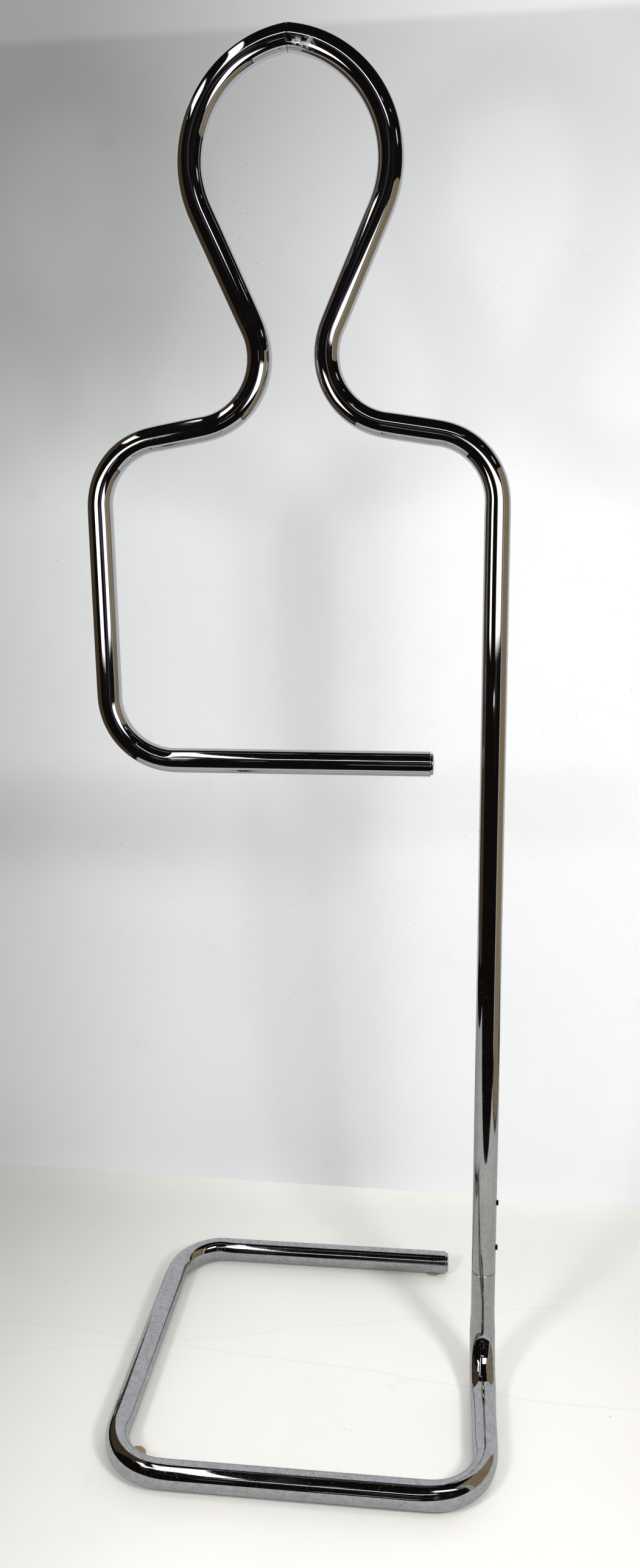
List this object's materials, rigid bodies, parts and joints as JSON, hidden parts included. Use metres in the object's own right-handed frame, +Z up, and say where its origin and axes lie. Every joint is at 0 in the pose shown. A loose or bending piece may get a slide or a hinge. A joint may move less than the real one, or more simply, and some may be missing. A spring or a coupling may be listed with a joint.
{
  "type": "valet stand",
  "caption": "Free-standing clothes valet of bent chromed steel tube: outline of a head, neck and shoulders over an open trouser bar, one upright, on a C-shaped floor base.",
  "frame": {"origin": "centre of the overall bounding box in plan, on the floor under the pads", "axes": "+Z up; figure lies in an XZ plane and faces -Y; the single upright is on the +X side; the base opens to the rear right"},
  "size_m": [0.4216, 0.375, 1.38],
  "materials": {
    "chrome_tube": "bright chrome plate on bent steel tube, lightly pitted low down",
    "chrome_plug": "chromed domed plug, slightly duller than the tube",
    "spigot_steel": "zinc plated turned tube",
    "screw_black": "black oxide socket set screw",
    "pad_vinyl": "translucent amber-brown vinyl bumper"
  },
  "bodies": {
    "base": {"base_tube": "chrome_tube", "riser_spigot": "spigot_steel", "base_end_plug": "chrome_plug", "front_left_pad": "pad_vinyl", "front_right_pad": "pad_vinyl", "rear_left_pad": "pad_vinyl", "rear_right_pad": "pad_vinyl"},
    "upright": {"upright_tube": "chrome_tube", "head_spigot": "spigot_steel"},
    "trouser_bar": {"trouser_bar_tube": "chrome_tube", "bar_end_plug": "chrome_plug"},
    "lower_screw": {"lower_set_screw": "screw_black"},
    "upper_screw": {"upper_set_screw": "screw_black"}
  },
  "joints": [
    {"name": "upright_lift_off", "type": "slide", "parent": "base", "child": "upright", "axis": [0, 0, 1], "range_m": [0, 0.1]},
    {"name": "head_pull_apart", "type": "slide", "parent": "upright", "child": "trouser_bar", "axis": [-0.9703, 0, -0.2419], "range_m": [0, 0.026]},
    {"name": "lower_screw_back_out", "type": "slide", "parent": "upright", "child": "lower_screw", "axis": [1, 0, 0], "range_m": [0, 0.003]},
    {"name": "upper_screw_back_out", "type": "slide", "parent": "upright", "child": "upper_screw", "axis": [1, 0, 0], "range_m": [0, 0.003]}
  ]
}
